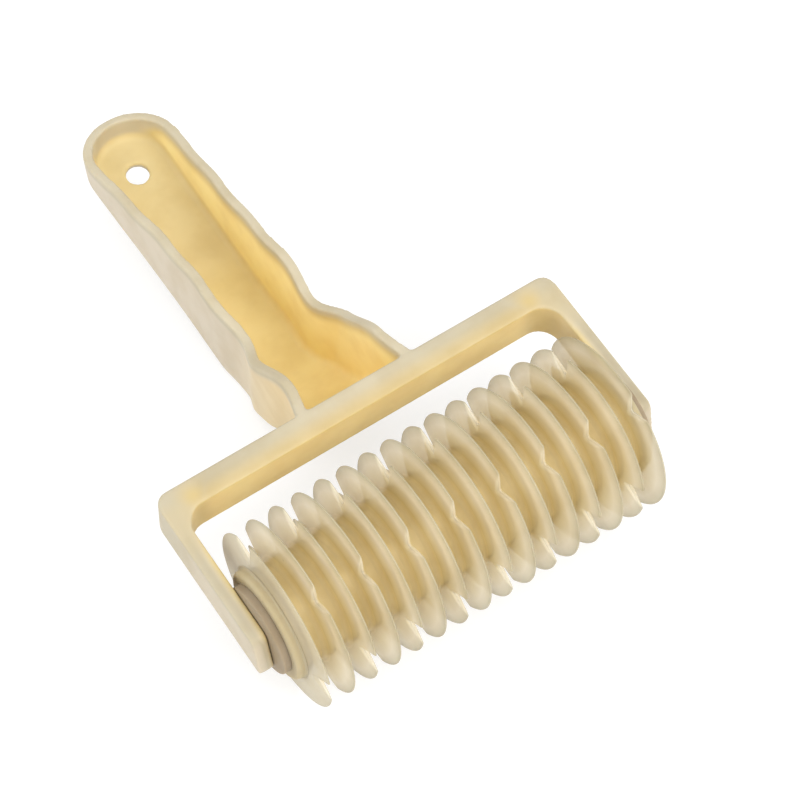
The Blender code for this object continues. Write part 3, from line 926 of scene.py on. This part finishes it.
# Camera fitted to the outlines in the photograph, placed in the yoke's own frame
IMAGE_WIDTH = 800.0
FOCAL_LENGTH_IN_PIXELS = 2495.24
SENSOR_WIDTH = 36.0
CAMERA_IN_YOKE = Matrix((
    (0.826628, 0.481226, -0.291734, -0.176932),
    (-0.560597, 0.749475, -0.352163, -0.190862),
    (0.049177, 0.454653, 0.889310, 0.566821),
    (0.0, 0.0, 0.0, 1.0),
))


def seen_directly(tree):
    """1 for rays that show the surroundings themselves, 0 for rays that light the object."""
    path = add_node(tree, "ShaderNodeLightPath")
    seen = maths(tree, "MAXIMUM", path.outputs["Is Camera Ray"], path.outputs["Is Transmission Ray"])
    return maths(tree, "MAXIMUM", seen, path.outputs["Is Glossy Ray"])


def build_floor():
    """Pale floor that shows as nearly white and keeps the object's shadow."""
    work = bmesh.new()
    bmesh.ops.create_grid(work, x_segments=1, y_segments=1, size=FLOOR_SIZE)
    floor = mesh_object("floor", work)
    floor.location.z = -FLOOR_DROP
    material, tree, shader = blank_material("floor_paper")
    shader.inputs["Roughness"].default_value = 0.9
    shader.inputs["Specular IOR Level"].default_value = 0.1
    seen = seen_directly(tree)
    bright = add_node(tree, "ShaderNodeEmission")
    bright.inputs["Color"].default_value = grey(1.0)
    tree.links.new(maths(tree, "MULTIPLY", seen, FLOOR_GLOW), bright.inputs["Strength"])
    floor_colour = mix_colour(tree, seen, grey(FLOOR_LEVEL), grey(FLOOR_LEVEL_SEEN))
    tree.links.new(floor_colour, shader.inputs["Base Color"])
    both = add_node(tree, "ShaderNodeAddShader")
    tree.links.new(shader.outputs[0], both.inputs[0])
    tree.links.new(bright.outputs[0], both.inputs[1])
    tree.links.new(both.outputs[0], tree.nodes["Material Output"].inputs["Surface"])
    floor.data.materials.append(material)


def build_world():
    """Even light from all around, white where it is seen."""
    world = bpy.data.worlds.new("studio")
    bpy.context.scene.world = world
    world.use_nodes = True
    tree = world.node_tree
    background = tree.nodes["Background"]
    background.inputs["Color"].default_value = grey(1.0)
    strength = add_node(tree, "ShaderNodeMapRange")
    tree.links.new(seen_directly(tree), strength.inputs[0])
    strength.inputs[3].default_value = WORLD_LIGHT
    strength.inputs[4].default_value = 1.0
    tree.links.new(strength.outputs[0], background.inputs["Strength"])


def build_lamps():
    """Round area lamps, all aimed at the middle of the object's footprint."""
    for name, location, size, power in LAMPS:
        lamp = bpy.data.lights.new(name, "AREA")
        lamp.shape = "DISK"
        lamp.size = size
        lamp.energy = power
        obj = link(bpy.data.objects.new(name, lamp))
        obj.location = location
        obj.rotation_mode = "QUATERNION"
        obj.rotation_quaternion = (-Vector(location)).to_track_quat("-Z", "Y")


def build_camera():
    data = bpy.data.cameras.new("photo_view")
    data.sensor_width = SENSOR_WIDTH
    data.lens = FOCAL_LENGTH_IN_PIXELS / IMAGE_WIDTH * SENSOR_WIDTH
    data.clip_start = 0.05
    data.clip_end = 20.0
    camera = link(bpy.data.objects.new("photo_view", data))
    camera.matrix_world = YOKE @ CAMERA_IN_YOKE
    bpy.context.scene.camera = camera


core_finish = core_material()
build_handle(handle_material())
build_discs(core_finish, blade_material())
build_end_rings(collar_material(), washer_material())
shaft = frame["nodes"]["axle_shaft"]
shaft.data.materials.clear()
shaft.data.materials.append(core_finish)
build_floor()
build_world()
build_lamps()
build_camera()
bpy.context.scene.view_settings.view_transform = "Standard"
